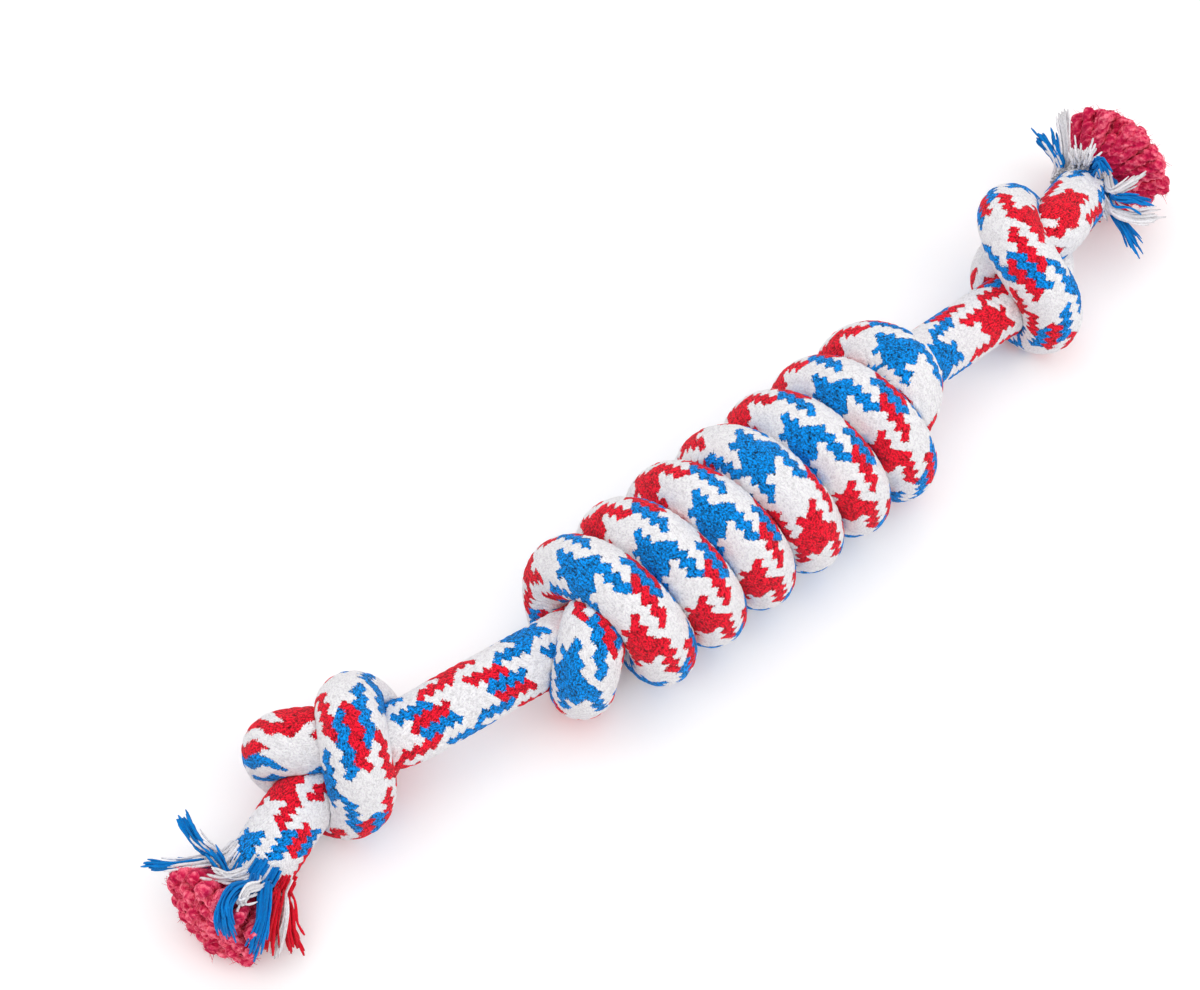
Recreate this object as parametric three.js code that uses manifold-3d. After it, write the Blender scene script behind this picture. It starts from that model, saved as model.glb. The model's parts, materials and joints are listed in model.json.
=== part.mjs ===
// Rope dog toy: one length of soft braided rope, knotted at both ends and wound into a barrel in the middle.
// Millimetres, +Z up. X runs along the barrel, and the origin is on the floor under its middle.
import * as THREE from "three";
import { mergeVertices } from "three/addons/utils/BufferGeometryUtils.js";
import Module from "manifold-3d";

const wasm = await Module();
wasm.setup();

// Rope
const ROPE_D = 12.8;
const COVER_WALL = 2.3;
const CORE_CLEARANCE = 0.3;
const STRAND_GAP = 0.9;

// Barrel
const COIL_PITCH = 13.15;
const COIL_TURNS = 6.29;
const COIL_MIDDLE = 5;
const COIL_RADIUS = 12.3;
const COIL_START_ANGLE = 60;
const INNER_OFFSET = 3.6;
const INNER_ANGLES = [265, 215];
const FLAT_DEPTH = 1.28;

// Bends between the pieces of rope
const BEND_CLEARANCE = 0.75;
const CUP_RIM = 4;
const END_RUN = 0.6;

// Frayed ends
const TAIL_LENGTH = 7;
const BUNDLE_COUNT = 6;
const BUNDLE_GAP = 0.3;
const BUNDLE_OUT = 2.5;
const YARN_GAP = 0.3;
const YARN_ROOT_D = 1.5;
const YARN_END_D = 1.4;
const YARN_ROWS = [2, 3];
const TUFT_CROWN = 0.03;
const FRINGE_GROUPS = 8;
const FRINGE_ROOT_WIDTH = 2.4;
const FRINGE_WIDTH = 3.3;
const FRINGE_THICK = 0.9;
const FRINGE_GAP = 0.35;

// Fineness of the skins
const SIDES = 8;
const LOOP_STEPS = 24;
const INNER_SKIP = 2;
const ROUTE_STEP = 3.3;
const INNER_STEP = 4;
const SAMPLE_STEP = 1;
const BEND_NEAR = 4;
const BEND_REACH = 12;
const BEND_SHARE = 0.9;
const DOME_SHARES = [0.45, 0.78];
const YARN_SIDES = 4;
const YARN_SHOULDER = 0.82;

// Values that follow from the sizes
const ROPE_R = ROPE_D / 2;
const CUP_R = ROPE_R + BEND_CLEARANCE;
const BORE_R = ROPE_R - COVER_WALL;
const CORE_R = BORE_R - CORE_CLEARANCE;
const BORE_FACET_R = BORE_R * Math.cos(Math.PI / SIDES);
const BUNDLE_D = (BORE_FACET_R - 2 * BUNDLE_GAP) / 1.5;
const BUNDLE_RING = BUNDLE_D + BUNDLE_GAP;
const COIL_AXIS_Z = COIL_RADIUS + ROPE_R - FLAT_DEPTH;
const COIL_HALF = (COIL_PITCH * COIL_TURNS) / 2;
const WOUND_LEFT = COIL_MIDDLE - COIL_HALF;
const WOUND_RIGHT = COIL_MIDDLE + COIL_HALF;
const FULL_TURN = Math.PI * 2;

const v3 = (x, y, z) => new THREE.Vector3(x, y, z);
const lerp = THREE.MathUtils.lerp;
const radians = THREE.MathUtils.degToRad;

// Each side's rope outside the barrel, its points measured outwards from half the barrel's length.
// "neck" holds the bends at the neck's two ends, "knot" the overhand knot as it was laid by hand, and "tail"
// the bend after it; the tail runs straight on from the knot's last point. "tuft" is the brush's reach,
// "spread" the spacing of its yarn ends, and "fringe" each frayed strip's share of that reach and its flare.
const LEFT = {
  name: "left",
  end: -1,
  neck: [v3(-15.2, 3.2, 16.4), v3(-27.2, 4.6, 17)],
  knot: [
    v3(-41.4, 8.2, 17.4),
    v3(-46.6, 11.4, 18.6),
    v3(-51.4, 14.6, 20),
    v3(-55.9, 18.4, 18.2),
    v3(-56.6, 19.2, 13),
    v3(-54.9, 16, 8),
    v3(-53.6, 10.9, 6.2),
    v3(-52.1, 6, 6.7),
    v3(-50.4, 2.8, 11),
    v3(-49.1, 2.2, 16.8),
    v3(-48.1, 4, 21.8),
    v3(-46.1, 7.4, 25.1),
    v3(-43.6, 12, 24.6),
    v3(-41.1, 15.4, 20.4),
    v3(-38.6, 15, 15),
    v3(-39.1, 11.9, 10.5),
    v3(-43.6, 9.3, 9.6),
    v3(-49.1, 9.4, 11.4),
    v3(-54.6, 9.5, 12.8),
    v3(-60.1, 8.5, 12),
  ],
  tail: v3(-68.4, 5.9, 10.1),
  tuft: v3(-12.5, -2.5, 3.5),
  spread: 2.6,
  fringe: [
    { long: 0.5, flare: 5 },
    { long: 0.75, flare: 3.5 },
    { long: 0.85, flare: 1 },
    { long: 0.7, flare: 0 },
    { long: 0.75, flare: 0 },
    { long: 0.85, flare: 1 },
    { long: 0.75, flare: 3.5 },
    { long: 0.55, flare: 5 },
  ],
};
const RIGHT = {
  name: "right",
  end: 1,
  neck: [v3(18.6, 4, 16.2), v3(30.6, 4.3, 14.4)],
  knot: [
    v3(46.6, 3.7, 13.6),
    v3(53.1, 3.3, 14),
    v3(57.9, 6.5, 13.5),
    v3(59.4, 12, 15.3),
    v3(58.1, 16, 20),
    v3(54.6, 16, 24.5),
    v3(50.6, 12.7, 27),
    v3(47.9, 7.5, 26.7),
    v3(47.1, 2, 24.5),
    v3(47.6, -2.8, 20.5),
    v3(48.1, -5, 15),
    v3(48.8, -3.3, 9.5),
    v3(49.6, 1.5, 6.2),
    v3(49.6, 7, 7.5),
    v3(49.6, 11, 11.5),
    v3(51.1, 11, 17),
    v3(54.6, 8.7, 21),
    v3(60.1, 8, 22),
    v3(65.6, 9.5, 20.5),
  ],
  tail: v3(74.2, 12.6, 16.6),
  tuft: v3(15.5, 3.5, -1.2),
  spread: 3.2,
  fringe: [
    { long: 0.5, flare: 2 },
    { long: 0.6, flare: 2 },
    { long: 0.7, flare: 1 },
    { long: 0.75, flare: 0 },
    { long: 0.7, flare: 0 },
    { long: 0.65, flare: 1 },
    { long: 0.6, flare: 2 },
    { long: 0.5, flare: 3 },
  ],
};

// Materials
const cloth = (color, roughness) =>
  new THREE.MeshStandardMaterial({ color, roughness, metalness: 0 });
const COVER_COLOUR = 0xc9b9cf;
const CORE_COLOUR = 0xc63a5e;
const FRINGE_COLOURS = [0x1478d4, 0xf2eef0, 0xe32130, 0xf2eef0];

const root = new THREE.Group();

function addMesh(name, geometry, color, roughness) {
  geometry.computeVertexNormals();
  const mesh = new THREE.Mesh(geometry, cloth(color, roughness));
  mesh.name = name;
  root.add(mesh);
}

// A closed BufferGeometry from rows of points, turned so that its faces point out.
function closedGeometry(points, triangles) {
  const position = points.flatMap((p) => [p.x, p.y, p.z]);
  let volume = 0;
  for (let i = 0; i < triangles.length; i += 3) {
    const [a, b, c] = [0, 1, 2].map((k) => points[triangles[i + k]]);
    volume += a.dot(v3().crossVectors(b, c));
  }
  const index = volume < 0 ? triangles.toReversed() : triangles;
  const geometry = new THREE.BufferGeometry();
  geometry.setAttribute("position", new THREE.Float32BufferAttribute(position, 3));
  geometry.setIndex(index);
  return geometry;
}

// Two rows become a band of triangles. The bore is walked backwards, so its bands are split the other way
// and lie parallel to the core's.
function joinRows(triangles, from, to, sides, backwards = false) {
  for (let k = 0; k < sides; k++) {
    const n = (k + 1) % sides;
    if (backwards) triangles.push(from + k, from + n, to + k, from + n, to + n, to + k);
    else triangles.push(from + k, from + n, to + n, from + k, to + n, to + k);
  }
}

// A skin out along one list of rows and back along another, as the wall of a hollow rope.
function wallSkin(outer, bore) {
  const sides = outer[0].length;
  const rows = [...outer, ...bore.toReversed()];
  const triangles = [];
  rows.forEach((row, i) => {
    const next = (i + 1) % rows.length;
    joinRows(triangles, i * sides, next * sides, sides, i >= outer.length);
  });
  return closedGeometry(rows.flat(), triangles);
}

// A skin through rows of points, closed at both ends by a fan round a middle point.
function cappedSkin(rows, first, last) {
  const sides = rows[0].length;
  const points = rows.flat();
  const triangles = [];
  for (let i = 0; i + 1 < rows.length; i++) joinRows(triangles, i * sides, (i + 1) * sides, sides);
  const start = points.push(first) - 1;
  const finish = points.push(last) - 1;
  const top = (rows.length - 1) * sides;
  for (let k = 0; k < sides; k++) {
    const n = (k + 1) % sides;
    triangles.push(start, n, k, finish, top + k, top + n);
  }
  return closedGeometry(points, triangles);
}

// Joining and cutting
function solidOf(geometry) {
  const bare = new THREE.BufferGeometry();
  bare.setAttribute("position", geometry.getAttribute("position"));
  bare.setIndex(geometry.getIndex());
  const merged = mergeVertices(bare, 1e-4);
  return new wasm.Manifold(
    new wasm.Mesh({
      numProp: 3,
      vertProperties: new Float32Array(merged.getAttribute("position").array),
      triVerts: new Uint32Array(merged.getIndex().array),
    }),
  );
}

function geometryOf(solid) {
  const mesh = solid.getMesh();
  const geometry = new THREE.BufferGeometry();
  geometry.setAttribute("position", new THREE.Float32BufferAttribute(mesh.vertProperties, 3));
  geometry.setIndex(new THREE.Uint32BufferAttribute(mesh.triVerts, 1));
  return geometry;
}

function cutAtFloor(geometry) {
  geometry.computeBoundingBox();
  const size = geometry.boundingBox.getSize(v3()).addScalar(ROPE_D);
  const middle = geometry.boundingBox.getCenter(v3());
  const below = new THREE.BoxGeometry(size.x, size.y, size.z);
  below.translate(middle.x, middle.y, -size.z / 2);
  return geometryOf(solidOf(geometry).subtract(solidOf(below)));
}

// A route is a list of points with a tangent, a normal and the length so far at each.
// It starts and ends along the given directions. Between "lockFrom" and "lockTo" the normal points
// away from the barrel's axis.
function route(points, startAlong, endAlong, lockFrom = 0, lockTo = -1) {
  const last = points.length - 1;
  const tangents = points.map((p, i) => {
    if (i === 0) return startAlong.clone();
    if (i === last) return endAlong.clone();
    return v3().subVectors(points[i + 1], points[i - 1]).normalize();
  });
  const square = (vector, i) => vector.addScaledVector(tangents[i], -vector.dot(tangents[i])).normalize();
  const normals = points.map(() => null);
  for (let i = lockFrom; i <= lockTo; i++)
    normals[i] = square(v3(0, points[i].y, points[i].z - COIL_AXIS_Z), i);
  if (lockTo < lockFrom) normals[0] = square(v3(0.1, 0.2, 1), 0);
  for (let i = Math.max(lockTo, 0) + 1; i <= last; i++) normals[i] = square(normals[i - 1].clone(), i);
  for (let i = lockFrom - 1; i >= 0; i--) normals[i] = square(normals[i + 1].clone(), i);
  const along = [0];
  for (let i = 1; i <= last; i++) along.push(along[i - 1] + points[i].distanceTo(points[i - 1]));
  return { points, tangents, normals, along, lockFrom, lockTo };
}

function smoothLine(points, step) {
  const curve = new THREE.CatmullRomCurve3(points, false, "centripetal");
  return curve.getSpacedPoints(Math.max(2, Math.round(curve.getLength() / step)));
}

// How far the soft rope reaches from its middle in one direction before the next strand stops it.
function reachOf(path, i, direction, others) {
  let reach = ROPE_R;
  for (let j = 0; j < others.points.length; j++) {
    const apart = v3().subVectors(others.points[j], path.points[i]);
    const distance = apart.length();
    const arc = Math.abs(others.along[j] - path.along[i]);
    if (distance > 2 * ROPE_R + STRAND_GAP || arc < BEND_NEAR) continue;
    const half = arc > BEND_REACH ? (distance - STRAND_GAP) / 2 : (BEND_SHARE * distance) / 2;
    const facing = direction.dot(apart) / distance;
    if (facing > 0.01) reach = Math.min(reach, half / facing);
  }
  return reach;
}

function directionsAround(tangent, normal) {
  const across = v3().crossVectors(tangent, normal);
  return Array.from({ length: SIDES }, (_, k) => {
    const angle = (k / SIDES) * FULL_TURN;
    return v3().addScaledVector(normal, Math.cos(angle)).addScaledVector(across, Math.sin(angle));
  });
}

// The rope's outer skin, bore and core as rings along a route.
function ropeRings(path, samples) {
  return path.points.map((middle, i) => {
    const wound = i - path.lockFrom;
    const inside = i < path.lockFrom || i > path.lockTo || wound % INNER_SKIP === 0;
    const directions = directionsAround(path.tangents[i], path.normals[i]);
    const outer = directions.map((d) => reachOf(path, i, d, samples));
    const wall = (r) => (COVER_WALL / ROPE_R) * r;
    const ring = (inset) =>
      directions.map((d, k) => middle.clone().addScaledVector(d, outer[k] - inset(outer[k])));
    return {
      middle,
      directions,
      inside,
      outer: ring(() => 0),
      bore: ring(wall),
      core: ring((r) => wall(r) + CORE_CLEARANCE),
    };
  });
}

const plainRing = (middle, directions, radius) =>
  directions.map((d) => middle.clone().addScaledVector(d, radius));
const onSphere = (radius, offAxis) => Math.sqrt(radius * radius - offAxis * offAxis);

// The rope's end at a bend. "into" points from the bend's centre into the rope.
// A cup goes round the next piece's dome; both are spheres round the bend's centre.
function cupEnd(centre, into, directions) {
  const at = (t) => centre.clone().addScaledVector(into, t);
  const boreDepth = onSphere(CUP_R, BORE_R);
  const midDepth = (CUP_RIM + boreDepth) / 2;
  const coreDepth = onSphere(CUP_R, CORE_R);
  return {
    rim: [
      plainRing(at(CUP_RIM), directions, ROPE_R),
      plainRing(at(CUP_RIM), directions, onSphere(CUP_R, CUP_RIM)),
      plainRing(at(midDepth), directions, onSphere(CUP_R, midDepth)),
    ],
    bore: plainRing(at(boreDepth), directions, BORE_R),
    core: [
      plainRing(at(onSphere(CUP_R, CORE_R / 2)), directions, CORE_R / 2),
      plainRing(at(coreDepth), directions, CORE_R),
    ],
    tip: at(CUP_R),
  };
}

function domeEnd(centre, into, directions) {
  const at = (t) => centre.clone().addScaledVector(into, -t);
  const edge = onSphere(ROPE_R, BORE_R + CORE_CLEARANCE);
  return {
    rim: [
      ...DOME_SHARES.map((share) => plainRing(at(edge * share), directions, onSphere(ROPE_R, edge * share))),
      plainRing(at(edge), directions, BORE_R + CORE_CLEARANCE),
    ],
    bore: plainRing(at(edge), directions, BORE_R),
    core: [
      plainRing(at(onSphere(ROPE_R, CORE_R / 2)), directions, CORE_R / 2),
      plainRing(at(onSphere(ROPE_R, CORE_R)), directions, CORE_R),
    ],
    tip: at(ROPE_R),
  };
}

// A piece of rope with its cover and its core, both ends shaped by cupEnd or domeEnd.
function ropePiece(name, rings, start, finish) {
  const inner = rings.filter((ring) => ring.inside);
  const outer = [...start.rim.toReversed(), ...rings.map((ring) => ring.outer), ...finish.rim];
  const bore = [start.bore, ...inner.map((ring) => ring.bore), finish.bore];
  const core = [...start.core, ...inner.map((ring) => ring.core), ...finish.core.toReversed()];
  addMesh("cover_" + name, cutAtFloor(wallSkin(outer, bore)), COVER_COLOUR, 0.95);
  addMesh("core_" + name, cappedSkin(core, start.tip, finish.tip), CORE_COLOUR, 1);
}

// Least distance between points of the skin that lie more than a bend apart along the rope.
function leastGap(path, rings) {
  let least = Infinity;
  for (let i = 0; i < rings.length; i++) {
    for (let j = i + 1; j < rings.length; j++) {
      if (path.along[j] - path.along[i] < BEND_REACH * 1.5) continue;
      if (rings[i].middle.distanceTo(rings[j].middle) > 3 * ROPE_R) continue;
      for (const p of rings[i].outer) {
        for (const q of rings[j].outer) least = Math.min(least, p.distanceTo(q));
      }
    }
  }
  return least;
}

// Barrel: in along the axis, back over it in a helix, and out along the axis again.
const onCoil = (x, radius, angle) =>
  v3(x, radius * Math.cos(radians(angle)), COIL_AXIS_Z + radius * Math.sin(radians(angle)));
const sideAt = (side, point) => v3(point.x + side.end * COIL_HALF, point.y, point.z);

function windings() {
  const steps = Math.round(COIL_TURNS * LOOP_STEPS);
  return Array.from({ length: steps + 1 }, (_, i) => {
    const turned = i / LOOP_STEPS;
    return onCoil(WOUND_RIGHT - COIL_PITCH * turned, COIL_RADIUS, COIL_START_ANGLE - 360 * turned);
  });
}

// Where the rope turns out of the barrel at the right and tucks into it at the left, as it was laid by hand:
// along from that end of the winding, in from the winding's radius, and angle round the axis.
const TURN_OUT = [
  [-12, 8.3, 185],
  [-7, 6.9, 158],
  [-3.6, 4.1, 135],
  [-0.6, 1.1, 110],
  [0.8, 0.2, 85],
];
const TUCK = [
  [-3.6, 0.2, 272],
  [-6.5, 2.7, 238],
  [-8, 4.7, 199],
  [-7.2, 4.5, 161],
  [-4.8, 4.1, 136],
  [-0.8, 5.5, 113],
  [7.4, 8.3, 88],
];

// The two lengths of rope inside the barrel lie opposite each other and turn slowly round its axis.
const innerAngle = (x) => lerp(...INNER_ANGLES, (x - WOUND_LEFT) / (WOUND_RIGHT - WOUND_LEFT));

function coilPath() {
  const [leftBend, rightBend] = [sideAt(LEFT, LEFT.neck[0]), sideAt(RIGHT, RIGHT.neck[0])];
  const leftAway = v3().subVectors(LEFT.neck[0], LEFT.neck[1]).normalize();
  const rightAway = v3().subVectors(RIGHT.neck[0], RIGHT.neck[1]).normalize();
  const straight = [CUP_R + END_RUN, CUP_RIM + ROPE_D];
  const innerReach = COIL_HALF - ROPE_D;
  const inner = [-0.75, -0.35, 0.05, 0.45, 0.8].map((share) => COIL_MIDDLE + share * innerReach);
  const inwards = smoothLine(
    [
      ...straight.map((t) => leftBend.clone().addScaledVector(leftAway, t)),
      ...inner.map((x) => onCoil(x, INNER_OFFSET, innerAngle(x))),
      ...TURN_OUT.map(([along, inset, angle]) => onCoil(WOUND_RIGHT + along, COIL_RADIUS - inset, angle)),
    ],
    INNER_STEP,
  );
  const wound = windings();
  const outwards = smoothLine(
    [
      ...TUCK.map(([along, inset, angle]) => onCoil(WOUND_LEFT + along, COIL_RADIUS - inset, angle)),
      ...inner.map((x) => onCoil(x, INNER_OFFSET, innerAngle(x) + 180)),
      ...straight.toReversed().map((t) => rightBend.clone().addScaledVector(rightAway, t)),
    ],
    INNER_STEP,
  );
  const points = [...inwards, ...wound, ...outwards];
  const lockTo = inwards.length + wound.length - 1;
  const path = route(points, leftAway, rightAway.clone().negate(), inwards.length, lockTo);
  return { path, leftBend, leftAway, rightBend, rightAway };
}

function resample(path) {
  const dense = [];
  const along = [];
  for (let i = 0; i + 1 < path.points.length; i++) {
    const length = path.along[i + 1] - path.along[i];
    const parts = Math.max(1, Math.round(length / SAMPLE_STEP));
    for (let k = 0; k < parts; k++) {
      dense.push(path.points[i].clone().lerp(path.points[i + 1], k / parts));
      along.push(path.along[i] + (length * k) / parts);
    }
  }
  return { points: dense, along };
}

function buildCoil() {
  const { path, leftBend, leftAway, rightBend, rightAway } = coilPath();
  const rings = ropeRings(path, resample(path));
  const start = cupEnd(leftBend, leftAway, rings[0].directions);
  const finish = cupEnd(rightBend, rightAway, rings[rings.length - 1].directions);
  ropePiece("coil", rings, start, finish);
  console.log("coil: least gap to itself " + leastGap(path, rings).toFixed(2) + " mm");
}

function buildNeck(side) {
  const [inner, outer] = side.neck.map((p) => sideAt(side, p));
  const away = v3().subVectors(outer, inner).normalize();
  const path = route(smoothLine([inner, outer], ROPE_R), away, away);
  const rings = ropeRings(path, { points: [], along: [] });
  const directions = rings[0].directions;
  const back = away.clone().negate();
  ropePiece("neck_" + side.name, rings, domeEnd(inner, away, directions), domeEnd(outer, back, directions));
}

function buildKnot(side) {
  const bend = sideAt(side, side.neck[1]);
  const tail = sideAt(side, side.tail);
  const points = side.knot.map((p) => sideAt(side, p));
  const into = v3().subVectors(side.neck[1], side.neck[0]).normalize();
  const back = v3().subVectors(points[points.length - 1], tail).normalize();
  const line = smoothLine(
    [
      bend.clone().addScaledVector(into, CUP_R + END_RUN),
      ...points.slice(0, -1),
      tail.clone().addScaledVector(back, CUP_R + END_RUN),
    ],
    ROUTE_STEP,
  );
  const path = route(line, into, back.clone().negate());
  const rings = ropeRings(path, resample(path));
  const start = cupEnd(bend, into, rings[0].directions);
  const finish = cupEnd(tail, back, rings[rings.length - 1].directions);
  ropePiece("knot_" + side.name, rings, start, finish);
  console.log(side.name + " knot: least gap to itself " + leastGap(path, rings).toFixed(2) + " mm");
}

// Tail: a short cover with a dome at its bend and an open mouth that the core yarns come out of.
function tailAxes(side) {
  const bend = sideAt(side, side.tail);
  const before = sideAt(side, side.knot[side.knot.length - 1]);
  const out = v3().subVectors(bend, before).normalize();
  const across = v3().crossVectors(out, v3(0, 0, 1)).normalize();
  const up = v3().crossVectors(across, out);
  return { bend, out, across, up, mouth: bend.clone().addScaledVector(out, TAIL_LENGTH) };
}

const around = (axes, angle, radius) =>
  v3()
    .addScaledVector(axes.up, radius * Math.cos(angle))
    .addScaledVector(axes.across, radius * Math.sin(angle));

function buildTail(side) {
  const axes = tailAxes(side);
  const directions = Array.from({ length: SIDES }, (_, k) => around(axes, (k / SIDES) * FULL_TURN, 1));
  const dome = domeEnd(axes.bend, axes.out, directions);
  const outer = [
    ...dome.rim.toReversed(),
    plainRing(axes.bend, directions, ROPE_R),
    plainRing(axes.mouth, directions, ROPE_R),
  ];
  const bore = [dome.bore, plainRing(axes.mouth, directions, BORE_R)];
  addMesh("cover_tail_" + side.name, cutAtFloor(wallSkin(outer, bore)), COVER_COLOUR, 0.95);
}

// Tuft: bundles of core yarn run through the tail and part into single yarn ends.
function yarn(stations, axes) {
  const rows = stations.map(({ at, width }) =>
    Array.from({ length: YARN_SIDES }, (_, k) =>
      at.clone().add(around(axes, (k / YARN_SIDES) * FULL_TURN, width / 2)),
    ),
  );
  return cappedSkin(rows, stations[0].at, stations[stations.length - 1].at);
}

// The middle bundle ends in one yarn with a ring round it, each other bundle in its sector's further rings.
function tipsOf(bundle, spread) {
  const sector = FULL_TURN / BUNDLE_COUNT;
  if (bundle === 0) {
    const ring = Array.from({ length: BUNDLE_COUNT }, (_, k) => ({ angle: sector * k, radius: spread }));
    return [{ angle: 0, radius: 0 }, ...ring];
  }
  return YARN_ROWS.flatMap((row) =>
    Array.from({ length: row }, (_, k) => ({
      angle: sector * (bundle - 1 + (k + 0.5) / row),
      radius: spread * row,
    })),
  );
}

function fanAxes(side) {
  const out = side.tuft.clone().normalize();
  const across = v3().crossVectors(out, v3(0, 0, 1)).normalize();
  return { out, across, up: v3().crossVectors(across, out), reach: side.tuft.length() };
}

function buildTuft(side) {
  const axes = tailAxes(side);
  const fan = fanAxes(side);
  const tipWidth = side.spread - YARN_GAP;
  const rodStart = axes.bend.clone().addScaledVector(axes.out, -onSphere(ROPE_R, BORE_R) + BUNDLE_GAP);
  for (let bundle = 0; bundle <= BUNDLE_COUNT; bundle++) {
    const sectorMiddle = ((bundle - 0.5) / BUNDLE_COUNT) * FULL_TURN;
    const aside = around(axes, sectorMiddle, bundle === 0 ? 0 : BUNDLE_RING);
    const rodEnd = axes.mouth.clone().add(aside).addScaledVector(axes.out, BUNDLE_OUT);
    const root = rodEnd.clone().addScaledVector(axes.out, -BUNDLE_D / 2);
    const rod = [
      { at: rodStart.clone().add(aside), width: BUNDLE_D },
      { at: rodEnd, width: BUNDLE_D },
    ];
    let solid = solidOf(yarn(rod, axes));
    for (const { angle, radius } of tipsOf(bundle, side.spread)) {
      const reach = fan.reach - TUFT_CROWN * radius * radius;
      const tip = axes.mouth.clone().addScaledVector(fan.out, reach).add(around(fan, angle, radius));
      const strand = [
        { at: root, width: YARN_ROOT_D },
        { at: root.clone().lerp(tip, YARN_SHOULDER), width: tipWidth },
        { at: tip, width: YARN_END_D },
      ];
      solid = solid.add(solidOf(yarn(strand, axes)));
    }
    addMesh("core_yarns_" + side.name + "_" + bundle, geometryOf(solid), CORE_COLOUR, 1);
  }
}

// Fringe: the cover's own yarns, undone at the mouth and splayed round the brush in colour groups.
function buildFringe(side) {
  const axes = tailAxes(side);
  const fan = fanAxes(side);
  const outermost = side.spread * YARN_ROWS[YARN_ROWS.length - 1];
  side.fringe.forEach(({ long, flare }, k) => {
    const angle = ((k + 0.5) / FRINGE_GROUPS) * FULL_TURN;
    const root = axes.mouth
      .clone()
      .addScaledVector(axes.out, FRINGE_GAP + FRINGE_THICK / 2)
      .add(around(axes, angle, ROPE_R - FRINGE_THICK));
    const yarnsReach = lerp(BUNDLE_RING, outermost, long) + side.spread / 2;
    const tip = axes.mouth
      .clone()
      .addScaledVector(fan.out, fan.reach * long)
      .add(around(fan, angle, yarnsReach + FRINGE_GAP + FRINGE_THICK + flare));
    const along = v3().subVectors(tip, root).normalize();
    const thick = v3().crossVectors(along, around(axes, angle + FULL_TURN / 4, 1)).normalize();
    const wide = v3().crossVectors(along, thick);
    const rows = [0, 0.5, 1].map((share) => {
      const middle = root.clone().lerp(tip, share);
      const half = lerp(FRINGE_ROOT_WIDTH, FRINGE_WIDTH, share) / 2;
      return [
        [1, 1],
        [-1, 1],
        [-1, -1],
        [1, -1],
      ].map(([a, b]) =>
        middle.clone().addScaledVector(wide, a * half).addScaledVector(thick, (b * FRINGE_THICK) / 2),
      );
    });
    const middleOf = (row) => row[0].clone().lerp(row[2], 0.5);
    const strip = cappedSkin(rows, middleOf(rows[0]), middleOf(rows[rows.length - 1]));
    addMesh("fringe_" + side.name + "_" + (k + 1), strip, FRINGE_COLOURS[k % FRINGE_COLOURS.length], 0.95);
  });
}

buildCoil();
for (const side of [LEFT, RIGHT]) {
  buildNeck(side);
  buildKnot(side);
  buildTail(side);
  buildTuft(side);
  buildFringe(side);
}

export default root;
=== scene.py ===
"""Looks of a rope dog toy: braided rope wound into a barrel, with a knot and a frayed tuft at each end."""

import json

import bpy
import numpy as np
from bpy.props import FloatProperty, FloatVectorProperty, IntProperty, PointerProperty
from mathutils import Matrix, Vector


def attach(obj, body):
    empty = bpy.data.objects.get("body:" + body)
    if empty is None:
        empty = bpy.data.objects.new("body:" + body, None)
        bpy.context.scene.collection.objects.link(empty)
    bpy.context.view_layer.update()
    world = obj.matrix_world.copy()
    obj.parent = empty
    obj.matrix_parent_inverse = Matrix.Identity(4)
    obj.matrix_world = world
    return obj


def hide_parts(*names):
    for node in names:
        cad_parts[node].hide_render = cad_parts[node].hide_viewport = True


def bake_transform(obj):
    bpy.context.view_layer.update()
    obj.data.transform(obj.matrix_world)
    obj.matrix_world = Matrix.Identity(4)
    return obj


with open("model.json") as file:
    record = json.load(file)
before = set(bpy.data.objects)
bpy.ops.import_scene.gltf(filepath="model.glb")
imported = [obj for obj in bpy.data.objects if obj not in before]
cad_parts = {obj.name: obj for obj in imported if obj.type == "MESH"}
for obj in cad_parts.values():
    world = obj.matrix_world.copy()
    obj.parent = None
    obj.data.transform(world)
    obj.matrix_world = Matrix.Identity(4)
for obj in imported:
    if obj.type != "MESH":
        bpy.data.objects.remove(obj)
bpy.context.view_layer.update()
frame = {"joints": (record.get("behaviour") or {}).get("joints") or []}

bl_info = {
    "name": "Rope dog toy",
    "version": (1, 0, 0),
    "blender": (4, 5, 0),
    "location": "View3D > Sidebar > Rope toy",
    "description": "Braided rope wound into a barrel, with a knot and a frayed tuft at each end",
    "category": "Add Mesh",
}

# Lengths in the tables and in the shape code are in millimetres
MM = 0.001
TURN = 2 * np.pi
UP = np.array([0.0, 0.0, 1.0])
# A direction that no strand follows
ASKEW = (0.31, 0.17, 0.93)

# Bends of the rope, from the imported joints
BENDS = {joint["name"]: np.array(joint["pos_m"]) / MM for joint in frame["joints"]}

# Barrel
COIL_PITCH = 13.15
COIL_TURNS = 6.29
COIL_MIDDLE = 5
COIL_RADIUS = 12.3
COIL_START = 60
INNER_OFFSET = 3.6
COIL_AXIS_Z = 17.42
LOOP_STEPS = 24
COIL_HALF = COIL_PITCH * COIL_TURNS / 2
WOUND = {"left": COIL_MIDDLE - COIL_HALF, "right": COIL_MIDDLE + COIL_HALF}
INNER_ANGLES = (265, 215)
# Where the rope turns out of the barrel and back into it: along from the end of the winding, in from its radius,
# and angle
TURN_OUT = [(-12, 8.3, 185), (-7, 6.9, 158), (-3.6, 4.1, 135), (-0.6, 1.1, 110), (0.8, 0.2, 85)]
TUCK = [
    (-3.6, 0.2, 272), (-6.5, 2.7, 238), (-8, 4.7, 199), (-7.2, 4.5, 161), (-4.8, 4.1, 136), (-0.8, 5.5, 113),
    (7.4, 8.3, 88),
]
INNER_SHARES = (-0.75, -0.35, 0.05, 0.45, 0.8)
INNER_ROOM = 12.8
BEND_RUNS = (7.75, 16.8)
TAIL_LENGTH = 7
# Half the length over which a tail bends
TAIL_SEAM = 4.5
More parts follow.
